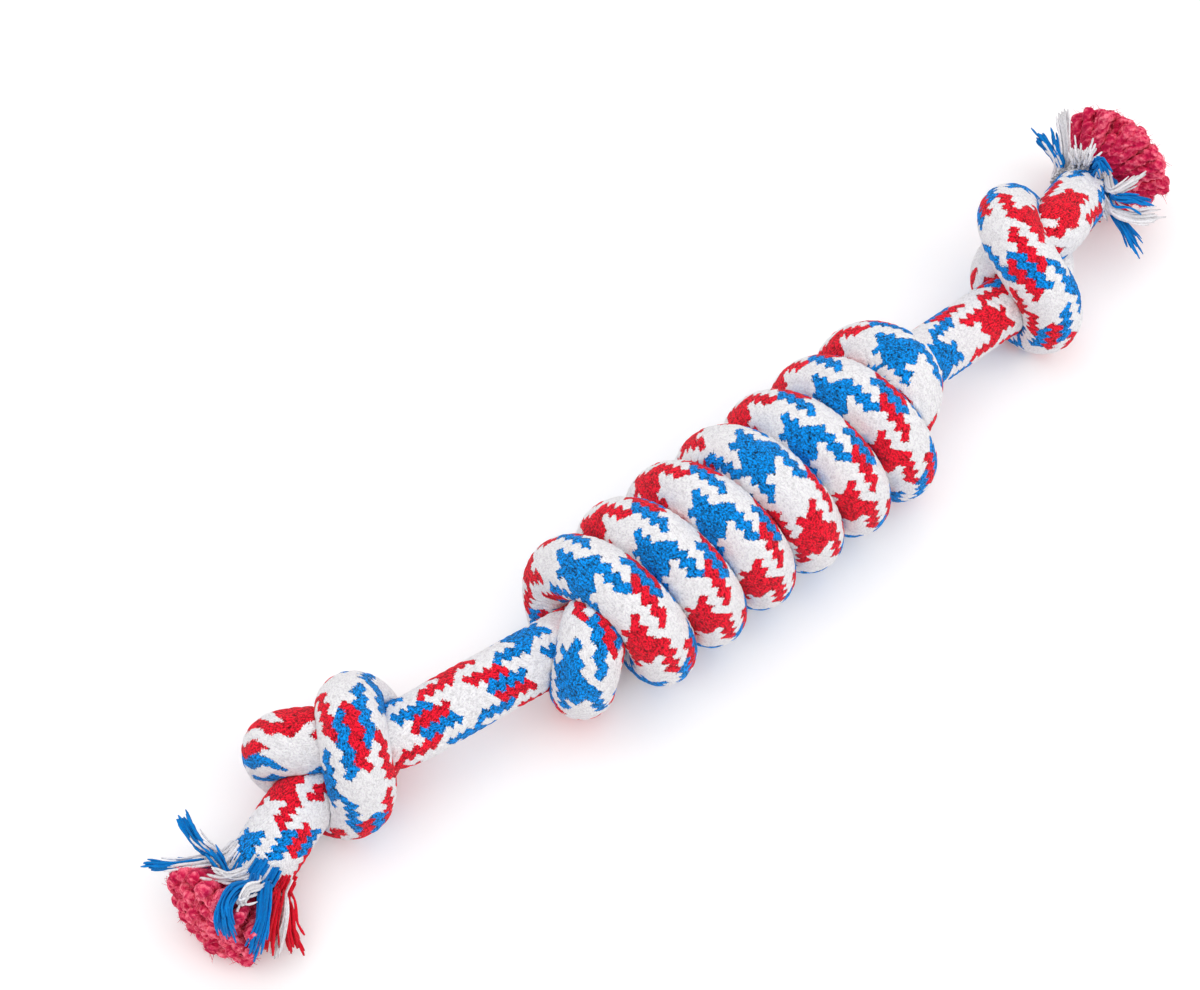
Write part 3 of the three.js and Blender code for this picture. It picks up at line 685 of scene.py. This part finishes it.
def braid_finish(settings):
    """Two sets of sixteen carriers, each over two and under two, in blocks of blue, white, red and white."""
    f = Finish("braided cotton")
    spot = f.node("ShaderNodeTexCoord", 3, {})
    place = f.node("ShaderNodeUVMap", 0, {}, uv_map="Braid")
    around, along = f.parts(place)[:2]
    runs = [f.math("MULTIPLY", f.math(way, around, along), CARRIERS) for way in ("SUBTRACT", "ADD")]
    for scale, far in (STRAY, RAGGED):
        wander = f.parts(f.node("ShaderNodeTexNoise", 1, {"Vector": spot, "Scale": scale, "Detail": 1}))
        runs = [f.total(run, f.ramp(wander[k], 0, 1, -far, far)) for k, run in enumerate(runs)]
    i, j = runs
    cell_i, cell_j = f.math("FLOOR", i), f.math("FLOOR", j)
    phase = f.math("FLOORED_MODULO", f.math("ADD", cell_i, cell_j), 4)
    rising = f.math("LESS_THAN", phase, 1.5)
    part_i, part_j = f.math("SUBTRACT", i, cell_i), f.math("SUBTRACT", j, cell_j)
    across = f.math("SUBTRACT", f.choose(rising, part_j, part_i), 0.5)
    second = f.math("SUBTRACT", f.math("FLOORED_MODULO", phase, 2), 1)
    forward = f.math("ADD", f.choose(rising, part_i, part_j), second)
    carrier = f.choose(rising, cell_j, cell_i)
    block = f.math("FLOORED_MODULO", f.math("FLOOR", f.math("DIVIDE", carrier, BLOCK)), 4)
    blue, red = f.math("COMPARE", block, 0, 0.1), f.math("COMPARE", block, 2, 0.1)
    color = f.mix(red, f.mix(blue, settings.white, settings.blue), settings.red)
    more = (f.math("MULTIPLY", blue, DEPTH_MORE["blue"]), f.math("MULTIPLY", red, DEPTH_MORE["red"]))
    depth = f.total(*more, DEPTH_WHITE)

    side = f.math("POWER", f.math("MULTIPLY", across, YARN_NARROW), 2)
    crown = f.math("SQRT", f.math("MAXIMUM", f.math("SUBTRACT", 1, side), 0))
    dive = f.math("SUBTRACT", 1, f.math("MULTIPLY", f.math("POWER", forward, 2), YARN_DIVE))
    lean = f.math("ADD", across, f.math("MULTIPLY", forward, PLY_LEAN))
    parts = {
        "yarn": f.math("MULTIPLY", crown, dive),
        "plies": f.math("ABSOLUTE", f.math("SINE", f.math("MULTIPLY", lean, PLIES * np.pi))),
        "speckle": f.noise(spot, SPECKLE, 3),
        "clumps": f.noise(spot, CLUMPS, 2),
    }
    height = f.total(*(f.math("MULTIPLY", part, BRAID_HEIGHT[name]) for name, part in parts.items()))
    # Painted shade where yarns dive and between plies, painted light on ply crowns, and random tone from speckle and
    # clumps
    light = f.total(*(f.ramp(part, *BRAID_SHADE_AND_TONE[name]) for name, part in parts.items()))
    light = f.total(f.math("MULTIPLY", light, depth), BRAID_LEVEL)
    return f.cotton(f.brightness(color, light), f.bump(height, *BRAID_BUMP))


def core_finish(settings):
    """Fluffy crimson yarn, with painted shade down between the yarns and painted highlights paler on their lumps and
    tips.
    """
    f = Finish("fluffy core yarn")
    place = f.node("ShaderNodeTexCoord", 3, {})
    shade = f.node("ShaderNodeAttribute", 2, {}, attribute_name="shade")
    fluff = f.noise(place, CORE_FLUFF, 4)
    clumps = f.noise(place, CORE_CLUMPS, 2)
    height = f.total(f.math("MULTIPLY", fluff, CORE_HEIGHT), f.math("MULTIPLY", clumps, CORE_HEIGHT))
    light = f.math("MULTIPLY", f.ramp(fluff, *FLUFF_LIGHT), f.ramp(clumps, *CLUMP_LIGHT))
    # The shade attribute carries each yarn's painted shade and random tone; the brightest parts pale as a painted
    # highlight
    light = f.math("MULTIPLY", light, shade)
    highlight_paling = f.ramp(light, *CORE_HIGHLIGHT_PALING)
    return f.cotton(f.brightness(settings.core, light, highlight_paling), f.bump(height, *CORE_BUMP))


def thread_finish(name, color):
    """Loose cotton thread with its twist."""
    f = Finish(name)
    place = f.node("ShaderNodeUVMap", 0, {}, uv_map="Twist")
    bands = {"wave_type": "BANDS", "bands_direction": "DIAGONAL"}
    twist = f.node("ShaderNodeTexWave", 1, {"Vector": place, "Scale": 1.0}, **bands)
    fibres = f.noise(f.node("ShaderNodeTexCoord", 3, {}), THREAD_FIBRES, 3)
    shade = f.node("ShaderNodeAttribute", 2, {}, attribute_name="shade")
    light = f.math("MULTIPLY", f.ramp(fibres, *THREAD_LIGHT), shade)
    height = f.total(f.math("MULTIPLY", twist, TWIST_HEIGHT), fibres)
    return f.cotton(f.brightness(color, light), f.bump(height, *THREAD_BUMP))


# Frayed ends
def tail_axes(name):
    """The mouth of a tail, the way it faces, and the directions across and up from it."""
    line = side_line(name)
    out = unit(line[-1] - line[-2])
    across = unit(np.cross(out, UP))
    return line[-1], out, across, np.cross(across, out)


def tube(line, radii, sides, lumps=1.0):
    """Rings round a line."""
    tangents = np.gradient(line, axis=0)
    tangents /= np.linalg.norm(tangents, axis=1)[:, None]
    normal = unit(np.cross(tangents[0], ASKEW))
    normals = []
    for tangent in tangents:
        normal = unit(normal - tangent * (normal @ tangent))
        normals.append(normal)
    normals = np.array(normals)
    angles = even_angles(sides)
    around = normals[:, None] * np.cos(angles)[:, None] + np.cross(tangents, normals)[:, None] * np.sin(angles)[:, None]
    return line[:, None] + around * (radii[:, None] * lumps * np.ones(sides))[:, :, None]


class Strands:
    """Many tubes gathered into one mesh."""

    def __init__(self):
        self.points, self.faces, self.uv, self.shade, self.count = [], [], [], [], 0

    def add(self, rings, shade):
        count, sides = rings.shape[:2]
        self.points.append(rings.reshape(-1, 3))
        self.faces += ring_faces(count, sides, self.count)
        i, k = np.meshgrid(np.arange(count - 1), np.arange(sides), indexing="ij")
        corners = ((0, 0), (0, 1), (1, 1), (1, 0))
        uv = [np.stack([(k + b) / sides, (i + a) * TWIST_STEP], axis=-1) for a, b in corners]
        self.uv.append(np.stack(uv, axis=2).reshape(-1, 2))
        self.shade.append(np.broadcast_to(shade, (count, sides)).ravel())
        last = self.count + (count - 1) * sides
        self.faces.append([last + side for side in range(sides)])
        self.uv.append(np.zeros((sides, 2)))
        self.count += count * sides

    def piece(self, name, material):
        return add_piece(
            name, np.vstack(self.points), self.faces, material, "Twist", np.vstack(self.uv), np.concatenate(self.shade)
        )


def bezier(a, b, c, d, count):
    t = np.linspace(0, 1, count)[:, None]
    return (1 - t) ** 3 * a + 3 * (1 - t) ** 2 * t * b + 3 * (1 - t) * t**2 * c + t**3 * d


def core_brush(name, settings, random):
    """Cut core yarns: one in the middle and rings round it, spreading from the mouth, with loose fibres."""
    mouth, out, across, up = tail_axes(name)
    reach = np.array(TUFT_REACH[name], float)
    fan_out = unit(reach)
    fan_across = unit(np.cross(fan_out, UP))
    fan_up = np.cross(fan_across, fan_out)
    share = np.linspace(0, 1, YARN_STEPS)
    strands = Strands()
    for ring in range(TUFT_RINGS[name]):
        yarns = max(1, ring * RING_YARNS)
        for k in range(yarns):
            angle = TURN * (k + 0.5 * (ring % 2)) / yarns + random.normal(0, ANGLE_STRAY)
            radius = ring * TUFT_SPREAD + random.normal(0, RADIUS_STRAY)
            length = np.linalg.norm(reach) - TUFT_CROWN[name] * radius**2 + random.normal(0, LENGTH_STRAY)
            tip = fan_out * length + (fan_up * np.cos(angle) + fan_across * np.sin(angle)) * radius
            if ring == TUFT_RINGS[name] - 1 and random.random() < TUFT_SHORT[name]:
                tip *= random.uniform(*SHORT_SHARE)
            tip = mouth + tip
            side = (up * np.cos(angle) + across * np.sin(angle)) * ring * ROOT_RADIUS / TUFT_RINGS[name]
            root = mouth - out * ROOT_DEPTH + side
            way = unit(tip - (mouth - fan_out * TUFT_HINGE[name]))
            line = bezier(root, root + out * ROOT_RUN, tip - way * TIP_RUN, tip, YARN_STEPS)
            waves = np.sin(share * WAVE_TURN + random.uniform(*PHASES)) * share**2
            line += waves[:, None] * random.normal(0, WAVE_STRAY, 3)
            thick = TUFT_SPREAD * random.uniform(*YARN_THICK)
            radii = np.interp(share, YARN_PLACES, (*YARN_ROOT, *(swell * thick for swell in YARN_SWELL)))
            end = unit(line[-1] - line[-2]) * radii[-1]
            line = np.vstack([line, line[-1] + end * HEAD_RISE[:, None]])
            line[:, 2] = np.maximum(line[:, 2], YARN_FLOOR)
            radii = np.concatenate([radii, radii[-1] * HEAD_RADII])
            # Painted shade: dark down at the root between the yarns, lighter to the tip; times a random tone for each
            # yarn
            tone_and_shade = random.uniform(*TONE_STRAY) * np.interp(np.linspace(0, 1, len(line)), ROOT_SHADE_PLACES, ROOT_SHADES)
            lumps = yarn_lumps(len(line), settings.fluff, random)
            rings = tube(line, radii, YARN_SIDES, lumps)
            rings[:, :, 2] = np.maximum(rings[:, :, 2], FLOOR_SKIN)
            # Painted shade in the grooves between lumps and painted light on their crowns
            strands.add(rings, tone_and_shade[:, None] * np.clip(1 + LUMP_SHADE * (lumps - 1), *LUMP_SHADE_LIMITS))
            add_fibres(strands, line, rings, tone_and_shade, random)
    return strands


def add_fibres(strands, line, rings, tone_and_shade, random):
    """Loose fibres on the outer half of one core yarn."""
    along = np.linspace(0, 1, len(FIBRE_RADII))[:, None]
    for _ in range(FIBRES):
        i, side = random.integers(len(line) // 2, len(line)), random.integers(YARN_SIDES)
        foot = rings[i, side]
        lean = unit(foot - line[i]) + random.normal(0, FIBRE_LEAN, 3)
        fibre = foot + lean * np.linspace(FIBRE_FOOT, random.uniform(*FIBRE_LENGTH), len(FIBRE_RADII))[:, None]
        fibre += random.normal(0, FIBRE_CURL, 3) * along**2
        fibre[:, 2] = np.maximum(fibre[:, 2], FIBRE_FLOOR)
        # A fibre takes the yarn's painted shade and tone where it stands, times a random tone of its own
        strands.add(tube(fibre, FIBRE_RADII, 3), tone_and_shade[i] * random.uniform(*FIBRE_TONE))


def yarn_lumps(count, fluff, random):
    """Uneven surface of a fluffy twisted yarn, as a factor of its radius."""
    i, angle = np.meshgrid(np.arange(count), even_angles(YARN_SIDES), indexing="ij")
    ply = np.cos(CORE_PLIES * angle - i * PLY_TURN + random.uniform(*PHASES))
    rough = np.zeros_like(angle)
    for wave in range(1, LUMP_WAVES + 1):
        a, b = random.uniform(0, TURN, 2)
        round_wave = np.cos(wave * angle + a + i * random.normal(0, LUMP_DRIFT))
        rough += round_wave * np.cos(i * random.uniform(*LUMP_TURN) + b) / 2
    grain = random.normal(0, 1, angle.shape)
    return 1 + fluff * sum(share * part for share, part in zip(LUMP_SHARES, (ply, rough, grain)))


def frayed_threads(name, settings, random):
    """Threads of the undone cover, by colour: the laid bundles, and short ends all round the mouth."""
    mouth, out, across, up = tail_axes(name)
    radius = settings.thread / MM / 2
    colours = {"blue": Strands(), "white": Strands(), "red": Strands()}

    def rim(angle, back, distance):
        return mouth - out * back + (up * np.cos(angle) + across * np.sin(angle)) * distance

    def add(colour, line):
        line[:, 2] = np.maximum(line[:, 2], radius + THREAD_FLOOR)
        count = len(line)
        thick = radius * random.uniform(*THREAD_THICK) * np.append(np.ones(count - 1), THREAD_TIP)
        turned = 2 * even_angles(THREAD_SIDES)[None] - np.arange(count)[:, None] * THREAD_TURN
        lumps = 1 + THREAD_TWIST * np.cos(turned)
        colours[colour].add(tube(line, thick, THREAD_SIDES, lumps), random.uniform(*THREAD_TONE))

    for kind, threads, degrees, way in FRINGE[name]:
        angle = np.radians(degrees)
        guide = [*(rim(angle, *root) for root in BUNDLE_ROOT), *(mouth + np.array(place) for place in way)]
        line = spline(guide, 8)
        along = np.linspace(0, 1, len(line))
        wide = np.interp(along, BUNDLE_PLACES, BUNDLE_WIDTHS)[:, None]
        for thread in range(round(threads * THREAD_SHARE)):
            inside = kind == "tipped" and thread % 2 == 0
            outside = kind == "tipped" and not inside
            colour = "blue" if inside else "white" if outside else kind
            first, last = INSIDE_FROM if inside else 0, random.uniform(*(INSIDE_ENDS if inside else PLAIN_ENDS))
            if outside:
                last = random.uniform(*OUTSIDE_ENDS)
            offset = random.normal(0, BUNDLE_STRAY, 3) * (INSIDE_STRAY if inside else 1)
            curl = random.normal(0, BUNDLE_CURL, 3) * along[:, None] ** 2
            curl *= np.sin(along * random.uniform(*CURL_TURN))[:, None]
            strand = line + offset * wide + curl
            places = np.linspace(first, last, THREAD_STEPS)
            add(colour, np.stack([np.interp(places, along, column) for column in strand.T], axis=1))
    for k in range(MOUTH_ENDS):
        angle = TURN * (k + random.uniform(-MOUTH_STRAY, MOUTH_STRAY)) / MOUTH_ENDS
        own = ("blue", "white", "red", "white")[k * 8 // MOUTH_ENDS % 4]
        colour = own if random.random() < MOUTH_COLOURED else "white"
        lean = random.normal(0, MOUTH_LEAN)
        tip = rim(angle + lean, -random.uniform(*MOUTH_OUT), random.uniform(*MOUTH_WIDE))
        start = rim(angle, random.uniform(*MOUTH_BACK), MOUTH_RADIUS)
        add(colour, bezier(start, start + out * MOUTH_RUNS[0], tip - out * MOUTH_RUNS[1], tip, MOUTH_STEPS))
    return colours


# Operators
class ROPETOY_OT_stage(bpy.types.Operator):
    """Make the camera, the lamps and the floor."""

    bl_idname = "rope_toy.stage"
    bl_label = "Stage"

    def execute(self, context):
        settings = context.scene.rope_toy.stage
        scene = context.scene
        scene.view_settings.view_transform = "Standard"
        camera = bpy.data.cameras.new("camera")
        camera.lens = settings.lens
        camera.sensor_width = 36
        camera.clip_start = 0.01
        scene.camera = self.place(camera, EYE, AIM)

        world = bpy.data.worlds.new("even light")
        world.use_nodes = True
        light = world.node_tree.nodes["Background"]
        light.inputs["Color"].default_value = (1, 1, 1, 1)
        light.inputs["Strength"].default_value = settings.sky
        scene.world = world

        for name, (share, size, spot, aim) in LAMPS.items():
            lamp = bpy.data.lights.new(name, "AREA")
            lamp.energy = settings.lamp * share
            lamp.size = size
            self.place(lamp, spot, aim)

        f = Finish("floor")
        seen = f.node("ShaderNodeLightPath", 0, {})
        f.surface(
            Base_Color=settings.floor,
            Roughness=0.8,
            Specular_IOR_Level=0.1,
            Emission_Color=(1, 1, 1),
            Emission_Strength=f.math("MULTIPLY", seen, settings.glow),
        )
        mesh = bpy.data.meshes.new("floor")
        corners = [(x * FLOOR_HALF, y * FLOOR_HALF, 0) for x, y in ((-1, -1), (1, -1), (1, 1), (-1, 1))]
        mesh.from_pydata(corners, [], [(0, 1, 2, 3)])
        mesh.materials.append(f.material)
        floor = bpy.data.objects.new("floor", mesh)
        scene.collection.objects.link(floor)
        return {"FINISHED"}

    def place(self, data, spot, aim):
        holder = bpy.data.objects.new(data.name, data)
        holder.location = spot
        holder.rotation_euler = (Vector(aim) - Vector(spot)).to_track_quat("-Z", "Y").to_euler()
        bpy.context.scene.collection.objects.link(holder)
        return holder


def braid_material(context):
    return bpy.data.materials.get("braided cotton") or braid_finish(context.scene.rope_toy.rope)


def seam_reach(rope, name):
    """Half the length over which the rope bends at the neck's two ends."""
    return abs(rope.marks[f"{name}_neck"] - rope.marks[f"{name}_lift"]) / 2


def say_cord(rope, where):
    """Works out the middle line of a stretch of the rope, in metres, which nothing then uses."""
    path = rope.at(where, rope.points) * MM


class ROPETOY_OT_coil(bpy.types.Operator):
    """Wind the barrel."""

    bl_idname = "rope_toy.coil"
    bl_label = "Barrel"

    def execute(self, context):
        settings = context.scene.rope_toy.rope
        rope = the_rope(settings)
        start = rope.marks["left_neck"] + seam_reach(rope, "left")
        stop = rope.marks["right_neck"] - seam_reach(rope, "right")
        shown_from, shown_to = rope.marks["wound_from"] - SHOWN_TURN[0], rope.marks["wound_to"] + SHOWN_TURN[1]
        ends = (start, start + SHOWN_NECK, shown_from, shown_to, stop - SHOWN_NECK, stop)
        fineness = (RING_STEP, HIDDEN_STEP, RING_STEP, HIDDEN_STEP, RING_STEP)
        stretches = [steps(*stretch)[:-1] for stretch in zip(ends, ends[1:], fineness)]
        where = np.append(np.concatenate(stretches), stop)
        piece = rope_piece("rope_coil", rope, where, coil_angles(), braid_material(context))
        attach(piece, "coil")
        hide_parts("cover_coil", "core_coil")
        say_cord(rope, where)
        return {"FINISHED"}


class ROPETOY_OT_necks(bpy.types.Operator):
    """Lay the bare rope between the barrel and each knot, in two halves round the neck's two ends."""

    bl_idname = "rope_toy.necks"
    bl_label = "Necks"

    def execute(self, context):
        rope = the_rope(context.scene.rope_toy.rope)
        for name in ("left", "right"):
            neck, lift = BENDS[f"{name}_neck_swing"] * MM, BENDS[f"{name}_neck_lift"] * MM
            reach = seam_reach(rope, name)
            at_neck, at_lift = rope.marks[f"{name}_neck"], rope.marks[f"{name}_lift"]
            for part, at, bodies, bend, nodes in (
                ("root", at_neck, ("coil", f"{name}_neck"), neck, ["cover_neck_" + name]),
                ("tip", at_lift, (f"{name}_neck", f"{name}_knot"), lift, ["core_neck_" + name]),
            ):
                where = steps(at - reach, at + reach, RING_STEP)
                piece = rope_piece(f"rope_neck_{name}_{part}", rope, where, even_angles(), braid_material(context))
                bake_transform(piece)
                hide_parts(*nodes)
        return {"FINISHED"}


class ROPETOY_OT_knots(bpy.types.Operator):
    """Tie the overhand knots."""

    bl_idname = "rope_toy.knots"
    bl_label = "Knots"

    def execute(self, context):
        settings = context.scene.rope_toy.rope
        rope = the_rope(settings)
        for name in ("left", "right"):
            lift, tail = rope.marks[f"{name}_lift"], rope.marks[f"{name}_tail"]
            reach = seam_reach(rope, name)
            ends = (tail + TAIL_SEAM, lift - reach) if name == "left" else (lift + reach, tail - TAIL_SEAM)
            where = steps(*ends, RING_STEP)
            piece = rope_piece(f"rope_knot_{name}", rope, where, even_angles(), braid_material(context))
            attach(piece, f"{name}_knot")
            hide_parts(f"cover_knot_{name}", f"core_knot_{name}")
            say_cord(rope, where)
        return {"FINISHED"}


class ROPETOY_OT_tails(bpy.types.Operator):
    """Lay the rope from each knot to the mouth that the core yarns come out of."""

    bl_idname = "rope_toy.tails"
    bl_label = "Tails"

    def execute(self, context):
        rope = the_rope(context.scene.rope_toy.rope)
        for name in ("left", "right"):
            tail, mouth = rope.marks[f"{name}_tail"], rope.marks[f"{name}_mouth"]
            ends = (mouth, tail + TAIL_SEAM) if name == "left" else (tail - TAIL_SEAM, mouth)
            where = steps(*ends, RING_STEP)
            piece = rope_piece(f"rope_tail_{name}", rope, where, even_angles(), braid_material(context))
            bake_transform(piece)
            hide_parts(f"cover_tail_{name}")
        return {"FINISHED"}


class ROPETOY_OT_tufts(bpy.types.Operator):
    """Spread the cut core yarns into a brush at each end."""

    bl_idname = "rope_toy.tufts"
    bl_label = "Tufts"

    def execute(self, context):
        settings = context.scene.rope_toy.tuft
        random = np.random.default_rng(settings.seed)
        material = core_finish(settings)
        for name in ("left", "right"):
            piece = core_brush(name, settings, random).piece(f"tuft_{name}", material)
            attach(piece, f"{name}_tail")
            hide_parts(*(f"core_yarns_{name}_{k}" for k in range(7)))
        return {"FINISHED"}


class ROPETOY_OT_fringes(bpy.types.Operator):
    """Fray the cover's own yarns round each brush."""

    bl_idname = "rope_toy.fringes"
    bl_label = "Fringes"

    def execute(self, context):
        settings = context.scene.rope_toy
        random = np.random.default_rng(settings.tuft.seed + 1)
        strips = {"blue": (1, 5), "white": (2, 4, 6, 8), "red": (3, 7)}
        finishes = {c: thread_finish(f"{c} thread", getattr(settings.rope, c)) for c in strips}
        for name in ("left", "right"):
            for colour, strands in frayed_threads(name, settings.tuft, random).items():
                piece = strands.piece(f"fringe_{name}_{colour}", finishes[colour])
                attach(piece, f"{name}_tail")
                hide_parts(*(f"fringe_{name}_{k}" for k in strips[colour]))
        return {"FINISHED"}


class ROPETOY_PT_panel(bpy.types.Panel):
    """Sizes, colours and pieces of the toy."""

    bl_idname = "ROPETOY_PT_panel"
    bl_label = "Rope toy"
    bl_space_type = "VIEW_3D"
    bl_region_type = "UI"
    bl_category = "Rope toy"

    def draw(self, context):
        settings = context.scene.rope_toy
        for group in (settings.rope, settings.tuft, settings.stage):
            box = self.layout.box()
            for name in group.__annotations__:
                box.prop(group, name)
        for operator in OPERATORS:
            self.layout.operator(operator.bl_idname)


OPERATORS = (
    ROPETOY_OT_stage,
    ROPETOY_OT_coil,
    ROPETOY_OT_knots,
    ROPETOY_OT_necks,
    ROPETOY_OT_tails,
    ROPETOY_OT_tufts,
    ROPETOY_OT_fringes,
)
CLASSES = (RopeSettings, TuftSettings, StageSettings, RopeToySettings, *OPERATORS, ROPETOY_PT_panel)


def register():
    for item in CLASSES:
        bpy.utils.register_class(item)
    bpy.types.Scene.rope_toy = PointerProperty(type=RopeToySettings)


def unregister():
    del bpy.types.Scene.rope_toy
    for item in reversed(CLASSES):
        bpy.utils.unregister_class(item)


def main():
    register()
    bpy.ops.rope_toy.stage()
    bpy.ops.rope_toy.coil()
    bpy.ops.rope_toy.knots()
    bpy.ops.rope_toy.necks()
    bpy.ops.rope_toy.tails()
    bpy.ops.rope_toy.tufts()
    bpy.ops.rope_toy.fringes()


if __name__ == "__main__":
    main()
